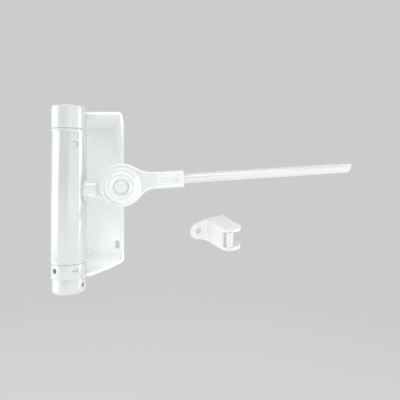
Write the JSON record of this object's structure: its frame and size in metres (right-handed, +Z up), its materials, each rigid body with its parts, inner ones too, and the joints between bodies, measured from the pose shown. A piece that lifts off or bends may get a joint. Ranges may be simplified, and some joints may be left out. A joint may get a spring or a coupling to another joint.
{
  "type": "spring door closer",
  "caption": "Spring door closer: upright torsion-spring tube in a pressed wall bracket, tilting arm with a long slide rod, and a separate forked roller guide for the door.",
  "frame": {"origin": "on the flat back of the wall bracket's plate, in the plane of the tube's axis and at the middle of the plate's height", "axes": "+Z up along the tube, +Y into the wall, +X along the arm's rod"},
  "size_m": [0.267, 0.0505, 0.1504],
  "materials": {
    "plated_sheet": "bright zinc plate on pressed sheet",
    "plated_turned": "bright zinc plate on turned steel",
    "plated_tube": "bright zinc plate on drawn tube",
    "plated_arm": "bright zinc plate on a pressed arm",
    "bright_rod": "bright drawn steel",
    "spring_steel": "oiled spring wire",
    "bronze": "sintered bronze"
  },
  "bodies": {
    "bracket": {"mounting_bracket": "plated_sheet", "top_cap": "plated_turned", "spindle": "plated_turned", "spindle_ring": "spring_steel", "upper_washer": "bronze", "lower_washer": "bronze", "lower_collar": "plated_turned", "lock_screw": "plated_turned", "guide_bracket": "plated_sheet", "guide_pin": "plated_turned"},
    "spring_barrel": {"spring_tube": "plated_tube", "upper_bush": "bronze", "lower_bush": "bronze", "upper_anchor": "plated_turned", "anchor_rivet": "plated_turned", "torsion_spring": "spring_steel", "arm_lug": "plated_arm", "pivot_rivet": "plated_turned", "friction_ring": "bronze", "pivot_back_washer": "plated_turned"},
    "arm": {"swing_arm": "plated_arm", "slide_rod": "bright_rod"},
    "adjuster": {"tension_adjuster": "plated_turned", "lower_anchor": "plated_turned"},
    "roller": {"guide_roller": "plated_turned"}
  },
  "joints": [
    {"name": "arm_swing", "type": "hinge", "parent": "bracket", "child": "spring_barrel", "pos_m": [0, -0.0365, 0], "axis": [0, 0, -1], "range_deg": [0, 120], "stiffness_Nm_per_rad": 1.2, "springref_deg": -28.65, "deforming": ["torsion_spring"]},
    {"name": "arm_tilt", "type": "hinge", "parent": "spring_barrel", "child": "arm", "pos_m": [0.04238, -0.0313, 0.0056], "axis": [0.1219, -0.9925, 0], "range_deg": [-13.8, 6.2]},
    {"name": "tension_adjust", "type": "hinge", "parent": "bracket", "child": "adjuster", "pos_m": [0, -0.0365, 0], "axis": [0, 0, 1], "range_deg": [0, 270], "deforming": ["torsion_spring"]},
    {"name": "roller_spin", "type": "hinge", "parent": "bracket", "child": "roller", "pos_m": [0.13083, -0.04315, -0.03605], "axis": [0, -0.2504, 0.9681], "continuous": true}
  ]
}
